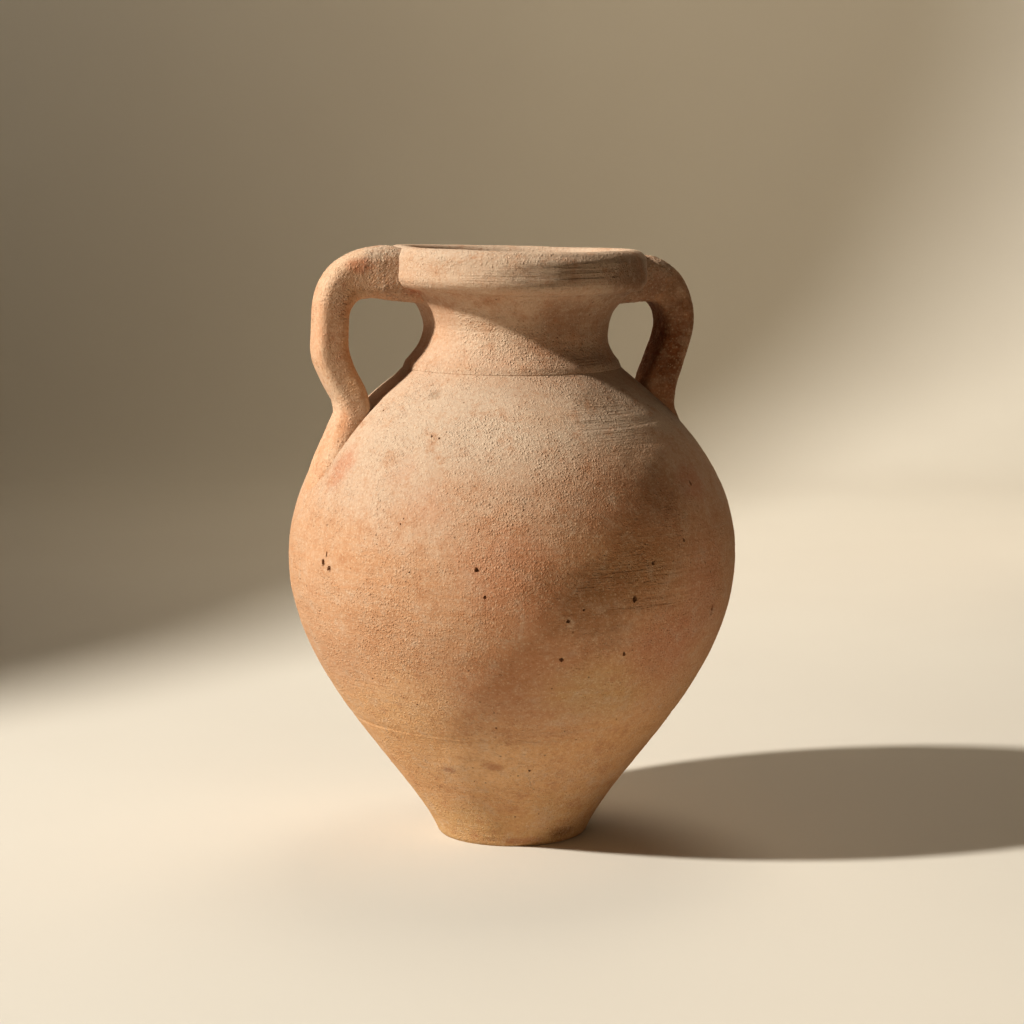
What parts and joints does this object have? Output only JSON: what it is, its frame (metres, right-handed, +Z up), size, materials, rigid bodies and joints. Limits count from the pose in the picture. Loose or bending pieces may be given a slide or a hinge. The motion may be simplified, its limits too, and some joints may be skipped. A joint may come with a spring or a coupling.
{
  "type": "amphora",
  "caption": "Two-handled pottery jar with a round belly, waisted neck, thick collar rim and flat foot, for storing and pouring.",
  "frame": {"origin": "Centre of the underside of the foot, on the pot's axis, at the surface that the pot stands on.", "axes": "+Z up the pot's axis to the mouth. The handles lie along X, the fuller handle on -X."},
  "size_m": [0.303, 0.303, 0.4001],
  "materials": {
    "base_clay": "rough, sandy, unglazed",
    "body_clay": "unglazed, thin pale slip",
    "neck_clay": "unglazed, thin pale slip",
    "handle_clay": "unglazed, gritty",
    "joining_clay": "unglazed, gritty, finger-smeared"
  },
  "bodies": {
    "root": {"base_disc": "base_clay", "lower_body": "body_clay", "belly": "body_clay", "shoulder": "body_clay", "neck_coil": "joining_clay", "neck": "neck_clay", "rim_collar": "neck_clay", "handle_left": "handle_clay", "handle_right": "handle_clay", "handle_left_tail": "handle_clay", "handle_right_tail": "handle_clay", "handle_left_luting": "joining_clay", "handle_right_luting": "joining_clay"}
  },
  "joints": []
}
